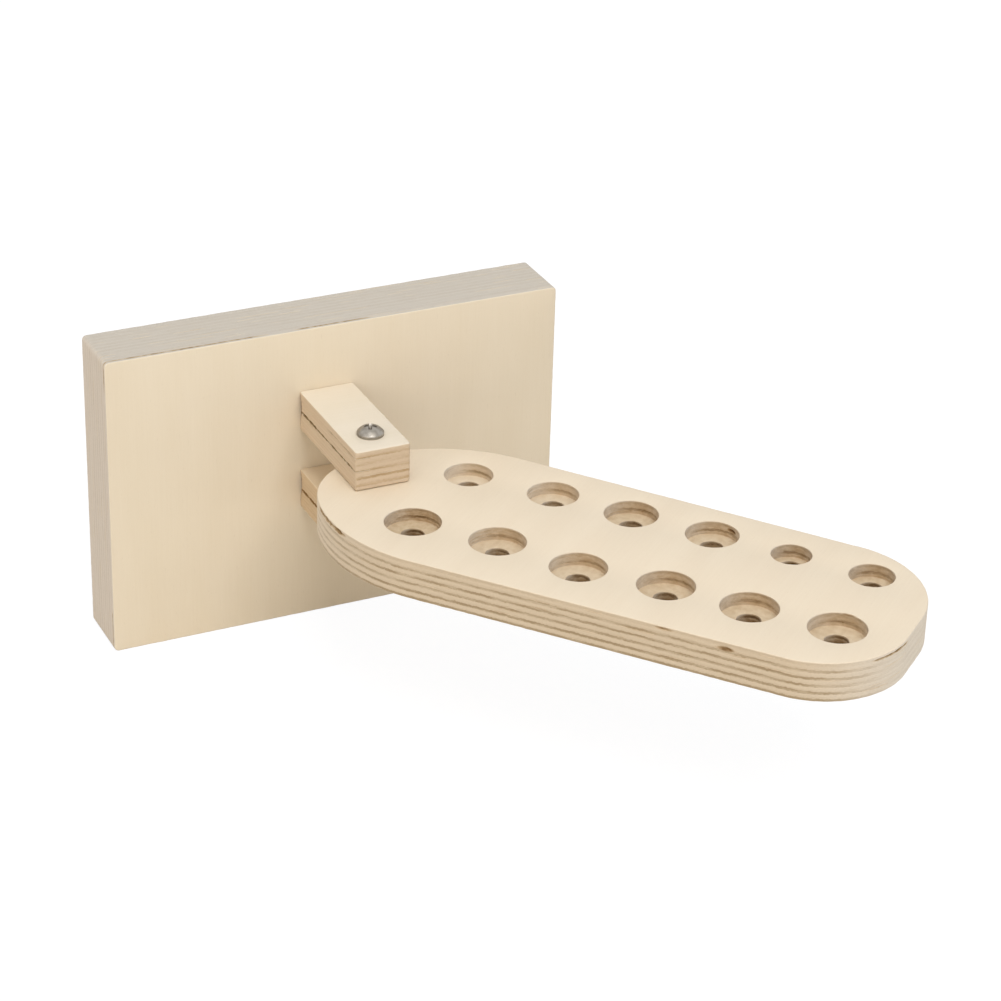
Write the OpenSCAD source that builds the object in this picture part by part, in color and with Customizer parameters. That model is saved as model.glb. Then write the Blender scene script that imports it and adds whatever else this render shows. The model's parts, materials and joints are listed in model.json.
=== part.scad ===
// Screwdriver rack: a board of stepped tool holes that swivels between two plywood arms on a back plate.
// The origin is the centre of the plate's back face, which lies against the wall. X runs to the right, Y into
// the wall and Z up. Sizes are in millimetres. The board is drawn at the angle where it usually stands.

/* [Back plate] */
// Width of the back plate
plate_w = 210; // [170:1:300]
// Height of the back plate
plate_h = 140; // [120:1:200]
// Thickness of the back plate
plate_t = 30; // [24:1:36]
// Chamfer on the sawn edges of the plate and the arms
ease = 0.5; // [0.2:0.1:1]

/* [Wall fixing] */
// Distance between the pilot holes across
fix_w = 160; // [100:1:160]
// Distance between the pilot holes in height
fix_h = 90; // [80:1:110]
// Diameter of the pilot holes in the back face
pilot_d = 4; // [3:0.5:6]
// Depth of the pilot holes
pilot_deep = 20; // [12:1:22]

/* [Arms] */
// Width of each arm
arm_w = 25; // [22:0.5:35]
// Length of each arm in front of the plate
arm_len = 63; // [60:1:80]
// Thickness of each arm
arm_t = 18; // [15:0.5:21]
// Distance of the arms from the plate's middle, to the left
arm_left = 5; // [0:0.5:20]
// Height of the upper arm's top above the plate's middle
arm_top = 41; // [36:0.5:50]

/* [Arm screws] */
// Diameter of the wood screws that hold the arms
wood_d = 4.5; // [3.5:0.5:5]
// Length of the wood screws
wood_len = 60; // [50:5:70]
// Diameter of their countersunk heads
wood_head_d = 8.8; // [7:0.2:9.6]
// Length of their points
wood_point = 8; // [6:1:10]
// Distance between the two screws in one arm
wood_gap = 12; // [10:0.5:13]
// Width across the cross recess in their heads
wood_cross_w = 4.6; // [4:0.1:5]
// Width of one slot of that cross
wood_cross_slot = 1.1; // [0.8:0.1:1.4]
// Depth of that cross
wood_cross_deep = 2.2; // [1.6:0.1:2.4]

/* [Board] */
// Length of the board
board_len = 263.5; // [240:0.5:300]
// Width of the board at the pivot end
board_w = 102.5; // [98:0.5:110]
// Width that the board's back edge runs in to at the far end
far_w = 96.5; // [92:0.5:98]
// Thickness of the board
board_t = 17.5; // [15:0.5:21]
// Length of the curve at the pivot end
end_len = 65; // [58:1:70]
// Radius of the nose at the pivot end
nose_r = 38; // [30:1:44]
// Radius of the far end's front corner
front_corner_r = 38; // [20:1:46]
// Radius of the far end's back corner
back_corner_r = 43; // [20:1:45]
// Angle that the board is swung out from the wall
swing = 50.5; // [0:0.5:90]

/* [Pivot] */
// Diameter of the pivot screw
pivot_d = 6; // [5:0.5:6.5]
// Length of thread that stands out of the lock nut
thread_out = 4.8; // [2:0.2:8]
// Chamfer at the pivot screw's tip
pivot_tip = 1; // [0.5:0.1:1.5]
// Distance of the pivot from the arms' ends
pivot_inset = 14; // [12:0.5:18]
// Distance of the pivot from the board's nose
pivot_nose = 15.5; // [14:0.5:20]
// Distance of the pivot from the board's centre line
pivot_off = 9; // [0:0.5:12]
// Running clearance of the screw in the board, on the radius
run_clear = 0.08; // [0.02:0.01:0.1]
// Clearance of a screw in the arms, the plate and the washers, on the radius
fit_clear = 0.2; // [0.05:0.05:0.4]
// Play between the board and the upper arm
play = 0.4; // [0.3:0.1:1]

/* [Pivot screw head] */
// Diameter of the pan head
head_d = 11.6; // [11:0.2:14]
// Height of the pan head
head_h = 4.2; // [3.5:0.1:5]
// Height of the upright edge round the head
head_edge = 1.3; // [0.8:0.1:2]
// Width across the cross recess
cross_w = 6.6; // [5:0.1:7]
// Width of one slot of the cross
cross_slot = 1.5; // [1:0.1:1.8]
// Depth of the cross recess
cross_deep = 3; // [2:0.1:3.2]
// Angle at which the screw came to rest
cross_turn = -26; // [-45:1:45]

/* [Washers and nut] */
// Diameter of the washer that the board turns on
thrust_d = 18; // [14:0.5:22]
// Thickness of that washer
thrust_t = 2; // [1:0.1:2.5]
// Diameter of the washer under the lower arm
washer_d = 12; // [11:0.5:18]
// Thickness of the washer under the lower arm
washer_t = 1.6; // [1:0.1:2]
// Width of the lock nut across its flats
nut_af = 10; // [9.5:0.5:11]
// Height of the lock nut's hexagon
nut_hex = 5; // [4:0.1:6]
// Height of the lock nut's collar
nut_collar = 2.6; // [2.4:0.1:3]
// Diameter of the lock nut's collar
collar_d = 9.2; // [9:0.1:9.4]
// Wall of the collar round the nylon ring
collar_wall = 0.6; // [0.4:0.1:0.8]
// Height of the nylon ring in the collar
ring_h = 1.8; // [1.2:0.1:1.9]

/* [Tool holes] */
// Wood left beyond the centre of a row's last hole, which sets how many holes a row has
far_wood = 26; // [20:1:40]
// Distance of the first front hole from the nose
front_first = 51.5; // [48:0.5:60]
// Pitch of the front row
front_pitch = 37; // [30:0.5:38]
// Distance of the front row from the board's centre line
front_off = 21; // [18:0.5:24]
// Diameter of the front row's counterbores
front_seat_d = 24; // [18:0.5:26]
// Distance of the first back hole from the nose
back_first = 53.5; // [50:0.5:60]
// Pitch of the back row
back_pitch = 36.5; // [30:0.5:38]
// Distance of the back row from the board's centre line
back_off = 27.5; // [24:0.5:32]
// Diameter of the holes for the blades
blade_d = 10; // [5:0.5:11]
// Depth of the counterbores
seat_deep = 6; // [3:0.5:9]

/* [Hidden] */
$fn = 96;
eps = 0.01;

// Diameters of the back row's counterbores, from the pivot end: the rack takes handles of several sizes
back_seat_d = [21, 22, 23, 22.5, 17, 19];
// How far each hole was drilled off its mark, along the board and across it
front_drift = [[-0.5, 0], [0.5, 1.5], [1.5, -2.5], [1.5, 0.5], [0.5, 0], [0, 1]];
back_drift = [[-0.5, 0], [2, 1], [1.5, 0.5], [1.5, 0], [0, -0.5], [-1.5, -1.5]];

// Heights of the stack on the pivot, from the top down
upper_under = arm_top - arm_t;
board_top = upper_under - play;
board_under = board_top - board_t;
lower_top = board_under - thrust_t;
lower_under = lower_top - arm_t;
washer_under = lower_under - washer_t;
nut_under = washer_under - nut_hex - nut_collar;
ring_under = nut_under + (nut_collar - ring_h) / 2;
pivot_len = arm_top - nut_under + thread_out;

arm_end_y = -plate_t - arm_len;
pivot_x = -arm_left;
pivot_y = arm_end_y + pivot_inset;

half_w = board_w / 2;
// Least length of the straight end on each side of the board's centre line
end_flat = 1;
// Width of a cross recess at its bottom, as a share of its mouth
cross_foot = 0.3;

// Points on an arc after its first, from one angle to another
function arc(at, r, from, to) = let (steps = ceil(abs(to - from) * $fn / 360))
    [for (i = [1:steps]) at + r * [cos(from + (to - from) * i / steps), sin(from + (to - from) * i / steps)]];

// Points along half of the board's outline, from its nose to its far end, on the side of positive Y. Round the
// nose it has two centres, the nose's and a flatter arc's, which runs into an edge that may lean in.
function half_outline(far_half, corner_r) = let (
    straight = board_len - end_len,
    lean = atan((half_w - far_half) / straight),
    reach = end_len - nose_r,
    side_r = (pow(reach, 2) + pow(half_w, 2) - pow(nose_r, 2))
        / (2 * (half_w * cos(lean) + reach * sin(lean) - nose_r)),
    side_at = [end_len - side_r * sin(lean), half_w - side_r * cos(lean)],
    turn = atan2(-side_at.y, nose_r - side_at.x),
    r = min(corner_r, (far_half - end_flat) * cos(lean) / (1 - sin(lean))),
    corner_at = [board_len - r, half_w - (straight - r) * tan(lean) - r / cos(lean)])
    concat(arc([nose_r, 0], nose_r, 180, turn), arc(side_at, side_r, turn, 90 - lean),
        arc(corner_at, r, 90 - lean, 0));

// Centres of the holes, measured from the nose and from the centre line
function holes_from(first, pitch) = floor((board_len - far_wood - first) / pitch) + 1;
function in_turn(list, i) = list[i % len(list)];
front_at = [for (i = [0:holes_from(front_first, front_pitch) - 1])
    [front_first + i * front_pitch, -front_off] + in_turn(front_drift, i)];
back_at = [for (i = [0:holes_from(back_first, back_pitch) - 1])
    [back_first + i * back_pitch, back_off] + in_turn(back_drift, i)];

wood_head_h = (wood_head_d - wood_d) / 2;
upper_screw_z = arm_top - arm_t / 2;
lower_screw_z = lower_top - arm_t / 2;

function wood_x(side) = pivot_x + side * wood_gap / 2;

// A block whose twelve edges are chamfered, given by its size and its lowest corner
module eased_block(size, at) {
    translate(at) intersection() {
        linear_extrude(size.z) eased_face(size.x, size.y);
        translate([0, size.y, 0]) rotate([90, 0, 0]) linear_extrude(size.y) eased_face(size.x, size.z);
        rotate([90, 0, 90]) linear_extrude(size.x) eased_face(size.y, size.z);
    }
}

// A rectangle with its corners cut off by the chamfer
module eased_face(w, h) {
    polygon([[ease, 0], [w - ease, 0], [w, ease], [w, h - ease],
        [w - ease, h], [ease, h], [0, h - ease], [0, ease]]);
}

// The room that a pair of wood screws takes in the wood round them
module wood_screw_room(z) {
    for (side = [-1, 1]) {
        translate([wood_x(side), 0, z]) rotate([90, 0, 0]) {
            translate([0, 0, -eps]) cylinder(d = wood_d + 2 * fit_clear, h = wood_len + eps);
            translate([0, 0, -eps])
                cylinder(d1 = wood_head_d + 2 * fit_clear, d2 = wood_d + 2 * fit_clear, h = wood_head_h);
        }
    }
}

module back_plate() {
    color("#dfcaa6") difference() {
        eased_block([plate_w, plate_t, plate_h], [-plate_w / 2, -plate_t, -plate_h / 2]);
        for (x = [-1, 1], z = [-1, 1])
            translate([x * fix_w / 2, eps, z * fix_h / 2]) rotate([90, 0, 0])
                cylinder(d = pilot_d, h = pilot_deep + eps);
        wood_screw_room(upper_screw_z);
        wood_screw_room(lower_screw_z);
    }
}

// One arm, from its underside up, with the pivot's hole and the wood screws' holes
module arm(under) {
    color("#e6d4b4") difference() {
        eased_block([arm_w, arm_len, arm_t], [pivot_x - arm_w / 2, arm_end_y, under]);
        translate([pivot_x, pivot_y, under - eps])
            cylinder(d = pivot_d + 2 * fit_clear, h = arm_t + 2 * eps);
        wood_screw_room(under + arm_t / 2);
    }
}

module upper_arm() {
    arm(upper_under);
}

module lower_arm() {
    arm(lower_under);
}

// The board's outline, with its nose at the origin and its centre line along X: its front edge runs straight,
// its back edge leans in, and the far corners differ
module board_outline() {
    front = half_outline(half_w, front_corner_r);
    back = half_outline(far_w - half_w, back_corner_r);
    polygon(concat([[0, 0]], [for (p = front) [p.x, -p.y]], [for (i = [1:len(back)]) back[len(back) - i]]));
}

// A hole for one screwdriver: a seat for the handle over a through hole for the blade
module tool_hole(at, seat_d) {
    translate([at.x, at.y, -eps]) cylinder(d = blade_d, h = board_t + 2 * eps);
    translate([at.x, at.y, board_t - seat_deep]) cylinder(d = seat_d, h = seat_deep + eps);
}

module board() {
    color("#ead9b9") translate([pivot_x, pivot_y, board_under]) rotate([0, 0, -swing])
        translate([-pivot_nose, -pivot_off, 0]) difference() {
            linear_extrude(board_t) board_outline();
            for (at = front_at) tool_hole(at, front_seat_d);
            for (i = [0:len(back_at) - 1]) tool_hole(back_at[i], in_turn(back_seat_d, i));
            translate([pivot_nose, pivot_off, -eps])
                cylinder(d = pivot_d + 2 * run_clear, h = board_t + 2 * eps);
        }
}

// The outline of half a pan head: a short upright edge under a low dome
module pan_profile() {
    head_r = head_d / 2;
    dome_h = head_h - head_edge;
    dome_r = (pow(head_r, 2) + pow(dome_h, 2)) / (2 * dome_h);
    square([head_r, head_edge]);
    translate([0, head_edge]) intersection() {
        translate([0, dome_h - dome_r]) circle(r = dome_r);
        square([head_r, dome_h]);
    }
}

// A cross recess whose arms run in to a point, with its mouth at the origin
module cross_recess(w, slot, deep) {
    intersection() {
        translate([0, 0, -deep]) union() {
            translate([-w / 2, -slot / 2, 0]) cube([w, slot, deep + eps]);
            translate([-slot / 2, -w / 2, 0]) cube([slot, w, deep + eps]);
        }
        translate([0, 0, -deep]) cylinder(d1 = w * cross_foot, d2 = w, h = deep + eps);
    }
}

module pivot_screw() {
    color("#b9bcbf") translate([pivot_x, pivot_y, arm_top]) difference() {
        union() {
            rotate_extrude() pan_profile();
            translate([0, 0, pivot_tip - pivot_len]) cylinder(d = pivot_d, h = pivot_len - pivot_tip + eps);
            translate([0, 0, -pivot_len]) cylinder(d1 = pivot_d - 2 * pivot_tip, d2 = pivot_d, h = pivot_tip);
        }
        translate([0, 0, head_h]) rotate([0, 0, cross_turn]) cross_recess(cross_w, cross_slot, cross_deep);
    }
}

// A flat washer on the pivot, from its underside up
module washer(d, t, under) {
    color("#c2c5c8") translate([pivot_x, pivot_y, under]) difference() {
        cylinder(d = d, h = t);
        translate([0, 0, -eps]) cylinder(d = pivot_d + 2 * fit_clear, h = t + 2 * eps);
    }
}

module thrust_washer() {
    washer(thrust_d, thrust_t, lower_top);
}

module nut_washer() {
    washer(washer_d, washer_t, washer_under);
}

// Half the outline that a hexagon's corners are turned to, at 30 degrees from just inside the flats
module turned_corners() {
    inner = nut_af * 0.47;
    outer = nut_af / cos(30) / 2;
    drop = (outer - inner) * tan(30);
    polygon([[0, 0], [inner, 0], [outer, drop], [outer, nut_hex - drop], [inner, nut_hex], [0, nut_hex]]);
}

// The lock nut: a hexagon with turned corners over a round collar that holds the nylon ring
module lock_nut() {
    color("#bdc0c4") difference() {
        translate([pivot_x, pivot_y, nut_under]) {
            translate([0, 0, nut_collar]) intersection() {
                cylinder(d = nut_af / cos(30), h = nut_hex, $fn = 6);
                rotate_extrude() turned_corners();
            }
            cylinder(d = collar_d, h = nut_collar + eps);
        }
        translate([pivot_x, pivot_y, nut_under - eps])
            cylinder(d = pivot_d + 2 * run_clear, h = nut_hex + nut_collar + 2 * eps);
        translate([pivot_x, pivot_y, ring_under]) cylinder(d = collar_d - 2 * collar_wall, h = ring_h);
    }
}

module nut_ring() {
    color("#3d6f9e") translate([pivot_x, pivot_y, ring_under]) difference() {
        cylinder(d = collar_d - 2 * collar_wall, h = ring_h);
        translate([0, 0, -eps]) cylinder(d = pivot_d + 2 * run_clear, h = ring_h + 2 * eps);
    }
}

// Two countersunk wood screws, driven from the plate's back face into the end of an arm
module arm_screws(z) {
    color("#c9b26a") for (side = [-1, 1]) {
        translate([wood_x(side), 0, z]) rotate([90, 0, 0]) difference() {
            union() {
                cylinder(d1 = wood_head_d, d2 = wood_d, h = wood_head_h);
                cylinder(d = wood_d, h = wood_len - wood_point);
                translate([0, 0, wood_len - wood_point])
                    cylinder(d1 = wood_d, d2 = fit_clear, h = wood_point - fit_clear);
            }
            mirror([0, 0, 1]) cross_recess(wood_cross_w, wood_cross_slot, wood_cross_deep);
        }
    }
}

module upper_arm_screws() {
    arm_screws(upper_screw_z);
}

module lower_arm_screws() {
    arm_screws(lower_screw_z);
}

back_plate();
upper_arm();
lower_arm();
board();
pivot_screw();
thrust_washer();
nut_washer();
lock_nut();
nut_ring();
upper_arm_screws();
lower_arm_screws();
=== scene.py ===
import json
import math
from collections import namedtuple

import bmesh
import bpy
from mathutils import Matrix, Vector, geometry, noise


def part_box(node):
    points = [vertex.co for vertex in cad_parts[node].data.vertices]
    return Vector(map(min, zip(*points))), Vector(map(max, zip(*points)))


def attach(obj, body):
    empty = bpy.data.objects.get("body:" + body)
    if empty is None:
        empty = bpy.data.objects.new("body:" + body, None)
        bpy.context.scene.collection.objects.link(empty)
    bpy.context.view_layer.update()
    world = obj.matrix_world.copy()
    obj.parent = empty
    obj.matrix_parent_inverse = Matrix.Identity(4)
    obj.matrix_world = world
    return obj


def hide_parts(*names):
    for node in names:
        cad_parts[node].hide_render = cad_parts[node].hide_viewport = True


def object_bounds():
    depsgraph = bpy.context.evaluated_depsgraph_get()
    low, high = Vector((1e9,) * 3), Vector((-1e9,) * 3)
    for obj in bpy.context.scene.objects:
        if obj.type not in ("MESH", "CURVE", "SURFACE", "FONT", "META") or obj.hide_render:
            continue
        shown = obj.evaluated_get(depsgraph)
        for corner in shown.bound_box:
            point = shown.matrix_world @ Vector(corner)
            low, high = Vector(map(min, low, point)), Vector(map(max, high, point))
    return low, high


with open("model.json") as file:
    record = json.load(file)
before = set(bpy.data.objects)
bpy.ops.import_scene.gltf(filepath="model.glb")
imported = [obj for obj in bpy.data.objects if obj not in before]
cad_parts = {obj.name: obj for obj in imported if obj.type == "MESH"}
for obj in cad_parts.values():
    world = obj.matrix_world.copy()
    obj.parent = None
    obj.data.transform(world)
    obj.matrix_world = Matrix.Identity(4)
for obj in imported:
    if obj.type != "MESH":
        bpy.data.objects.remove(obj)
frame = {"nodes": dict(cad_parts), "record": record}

# The rack in its finish: sawn and sanded birch plywood, bright zinc on the pivot's hardware, yellow zinc on
# the wood screws. Pieces are worked out in millimetres and turned to metres where their meshes are made.
MM = 0.001
cad_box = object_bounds()

# The photograph's camera, fitted to the rack's straight edges, corners and hole rims, in millimetres,
# degrees and pixels
IMAGE = 1001
SENSOR = 36
CAMERA_AT = (-466.1, -1157.2, 638.4)
CAMERA_AZIMUTH = -25.874
CAMERA_ELEVATION = 28.170
CAMERA_ROLL = 1.694
FOCAL_PX = 3118.8

# Plies in the two kinds of sheet: that of the board and the arms, and the back plate's thicker one
BOARD_PLIES = 11
PLATE_PLIES = 21
# The rounded corners of the arms and of the plate, and the steps in one of them
ARM_CORNER = 1.1
PLATE_CORNER = 2
CORNER_STEPS = 4
# Rounding that sandpaper left on the rims of the drilled holes, how much such rounding varies, as a share,
# and the distance over which it does
SANDED_RIM = 0.28
EASE_VARIES = 0.45
EASE_DRIFT = 3
# The turns round a sanded edge at which a row of points lies
EASE_TURNS = (0, 30, 60, 90)
# Distance between the points round a hole, and how many there are at least
RIM_STEP = 0.9
RIM_POINTS = 24
# Edges of an outline over this length are straight sides, and shorter ones are steps along a round stretch.
# Points of the board's outline nearer to each other than the second length are one point.
STRAIGHT_SIDE = 12
SAME_CORNER = 0.2
# What the filling of a face keeps, and how near two points are taken as one
KEEP_INSIDE = 1
SAME_POINT = 1e-5
# Edges sharper than this many degrees stay crisp on wood and on metal
CRISP_WOOD = 40
CRISP_METAL = 35
# Depth of the four pilot holes in the plate's back face, and of the wood screws' holes in the arms
PILOT_DEEP = 20
ARM_SCREW_DEEP = 30
# The pivot's hole fits the screw closely in the board and is a little wider in the arms
BOARD_PIVOT_R = 3.08
ARM_PIVOT_R = 3.2
# The wood screws' holes in the plate and the arms, their first row of points under the rim in the plate,
# and the room round a screw's head
WOOD_SCREW_R = 2.45
UNDER_RIM = 1
WOOD_HEAD_CLEAR = 0.2

# Where the two rows of points in a ply lie, as shares of its thickness, how far from the end of a wall a
# glue line has to lie to show, and how near to a split the wall has no other line
PLY_ROWS = (0.36, 0.64)
LINE_CLEAR = 0.4
SAME_LINE = 0.5
# How deep a glue line is open everywhere, how much deeper it is where the glue let go, from which value of
# the noise it did, the size of such places, how far the lines of a sheet lie apart in the noise for each
# millimetre between them, and half the width of a line
LINE_DEEP = 0.04
LOOSE_DEEP = 0.35
LOOSE_FROM = 0.18
LOOSE_SIZE = 15
LINES_APART = 3.7
LINE_HALF = 0.1
# How rough the saw left wood that is cut along its grain, how much rougher end grain is, and the size of
# the marks along the edge and in depth
SAWN_SMOOTH = 0.015
SAWN_ROUGH = 0.06
SAWN_ALONG = 0.9
SAWN_HIGH = 0.6
# A split shows this far off its line at most, fades out over this share of its length at each end, and
# pushes the rows of points apart this far round it. Its lips are open by a share that varies along them.
SPLIT_ASIDE = 6
SPLIT_FADE = 0.125
SPLIT_REACH = 1.5
LIPS_OPEN = 0.75
LIPS_VARY = 0.7
LIPS_SIZE = 1.3
# How much the depth of a torn spot varies, as a share, and over what distance
TORN_VARIES = 0.5
TORN_SIZE = 0.5

# How much painted shade the walls of a narrow hole get at most, and how fast it grows with each millimetre
HOLE_SHADE = 0.5
HOLE_SHADE_PER_MM = 0.08
# How much painted shade a wide seat's wall and its floor get, how much the seats differ in that, as a
# share, and over what distance
SEAT_WALL_SHADE = 0.16
SEAT_FLOOR_SHADE = 0.15
SEATS_DIFFER = 0.8
SEATS_APART = 9
# How deep a glue line has to be open for its painted shade to be as dark as it gets, and how dark its lips
# then are
FULL_DARK = 1.3
LIP_DARK = 0.4
# Where the painted shade is deepest the wood's colour is raised to this power and one more, so that it goes
# browner as well as darker, and this colour of shade covers this share of it
SHADE_POWER = 3
WOOD_SHADE = "#54473a"
WOOD_SHADE_SHARE = 0.7
# The colour of the pores in birch, how far apart two sheets lie in the noises that they share, and where
# the tones of their plies start
PORES = "#8f7450"
SHEETS_APART = Vector((61, 23, 0))
PLY_TONES = 7.31

# The pivot screw's M6 thread: its pitch, how deep it is cut, its length, and the radius of the screw's tip
PITCH = 1.0
THREAD_DEEP = 0.61
THREAD_LONG = 14
TIP_R = 2.0
# The pivot screw's head, the height of its dome and the share of the head that its recess takes up. Painted
# shade in the recess starts at the first depth under the dome, has its full colour the second one further
# down, and reaches no deeper than this many heights of the dome.
HEAD_R = 5.8
DOME_H = 2.9
RECESS_SHARE = 0.65
RECESS_SHADE_FROM = 0.3
RECESS_SHADE_OVER = 1.6
RECESS_SHADE_LIMIT = 1.3
RECESS_SHADE = "#4a443c"
# How far the edges of the hardware are rounded: the pivot screw's, those of stamped pieces, those of the
# wood screws and those of the nylon ring. Edges under this many degrees aren't.
SCREW_EASE = 0.1
STAMPED_EASE = 0.15
WOOD_SCREW_EASE = 0.08
RING_EASE = 0.1
BLUNT = 28
# The size of the clouds in zinc plating and of the dents in it, and of rubbed marks on nylon
CLOUD = 2.5
DENT = 0.35
RUB = 0.8

# The studio, in metres: where its lamps aim, how bright its room is low down and overhead, and half the
# width of its floor. The floor is paper, which shows shadows. Where it is seen directly a white glow has
# this share in it, so that it looks white.
LAMPS_AIM = Vector((0.03, -0.12, 0))
ROOM_LOW = 0.38
ROOM_HIGH = 0.7
FLOOR_HALF = 6
FLOOR_PAPER = "#e0dace"
FLOOR_WHITE = (0.96, 0.975, 1, 1)
FLOOR_GLOW = 1.21
GLOW_SHARE = 0.75

# A sheet of plywood in its own axes: X and Y lie in its face, and depth is measured down from that face.
# grain is the face veneer's way, seed sets its noises apart from those of other sheets, ease is the
# rounding of its sawn edges, step the distance between points along them, and splits and nicks are its
# faults.
Sheet = namedtuple("Sheet", "place thick plies grain seed ease step splits nicks")
# How a sawn edge looks: its colour where the face grain runs out of the edge and where it runs along, the
# colour of plies cut across, that of glue, and how dark face plies and cross plies get where they are cut
Edge = namedtuple("Edge", "side end dark glue faced crossed")
# A split runs along an edge from start to end at one depth, deep into the wood and wide open by so much
Split = namedtuple("Split", "depth start end deep wide")
# A nick is a torn spot: it reaches so far round its middle along the edge and in depth, and goes in by deep
Nick = namedtuple("Nick", "at depth along high deep")
# A row of a wall: how deep it lies, how far it is set back into the wood, its part in a glue line's groove,
# where -1 and 1 are the lips and 0 is the bottom, how far it goes down and back round a sanded edge, and
# how much painted shade it gets
Row = namedtuple("Row", "depth back lip turn dark", defaults=(0, None, None, 0))


def linear(hex_colour):
    """An sRGB hex colour as the linear colour that the shaders take."""
    found = []
    for i in (1, 3, 5):
        c = int(hex_colour[i:i + 2], 16) / 255
        found.append(c / 12.92 if c <= 0.04045 else ((c + 0.055) / 1.055) ** 2.4)
    return (*found, 1)


def add(tree, kind, sockets=None, **settings):
    """Adds a node. Its sockets go by name or number, each with an output to link or a value to set. Where a
    Map Range's go by number, 0 is the value, 1 and 2 are its range, and 3 and 4 are what that turns into."""
    node = tree.nodes.new(kind)
    for name, value in settings.items():
        setattr(node, name, value)
    for name, value in (sockets or {}).items():
        if isinstance(value, bpy.types.NodeSocket):
            tree.links.new(value, node.inputs[name])
        else:
            node.inputs[name].default_value = value
    return node


def new_material(name):
    """An empty material, and its tree."""
    material = bpy.data.materials.new(name)
    material.use_nodes = True
    material.node_tree.nodes.clear()
    return material, material.node_tree


def noise_at(tree, where, size, detail=3, roughness=0.5):
    """A noise over a place in millimetres, with its features' size given along each axis."""
    share = [1 / s for s in size]
    scaled = add(tree, "ShaderNodeVectorMath", {0: where, 1: share}, operation="MULTIPLY").outputs[0]
    sockets = {0: scaled, "Scale": 1, "Detail": detail, "Roughness": roughness}
    return add(tree, "ShaderNodeTexNoise", sockets).outputs["Fac"]


def face_veneer(tree, own, pale, deep):
    """The colour and relief of a sanded face of rotary-cut birch, with its grain along X: silky and even,
    with a broad faint figure, fibres drawn twice as wide as real ones to show, and fine short pores."""
    fibre = noise_at(tree, own, (26, 0.9, 3), 5, 0.6)
    figure = noise_at(tree, own, (80, 14, 14), 2)
    pores = noise_at(tree, own, (3.2, 0.3, 1), 2)
    tone = add(tree, "ShaderNodeMath", {0: fibre, 1: 0.8, 2: figure}, operation="MULTIPLY_ADD").outputs[0]
    tone = add(tree, "ShaderNodeMapRange", {0: tone, 1: 0.5, 2: 1.3}).outputs[0]
    colour = add(tree, "ShaderNodeMix", {"Factor": tone, "A": linear(pale), "B": linear(deep)},
                 data_type="RGBA").outputs["Result"]
    pore = add(tree, "ShaderNodeMapRange", {0: pores, 1: 0.66, 2: 0.74, 4: 0.12}).outputs[0]
    colour = add(tree, "ShaderNodeMix", {"Factor": pore, "A": colour, "B": linear(PORES)},
                 data_type="RGBA").outputs["Result"]
    return colour, fibre


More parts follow.
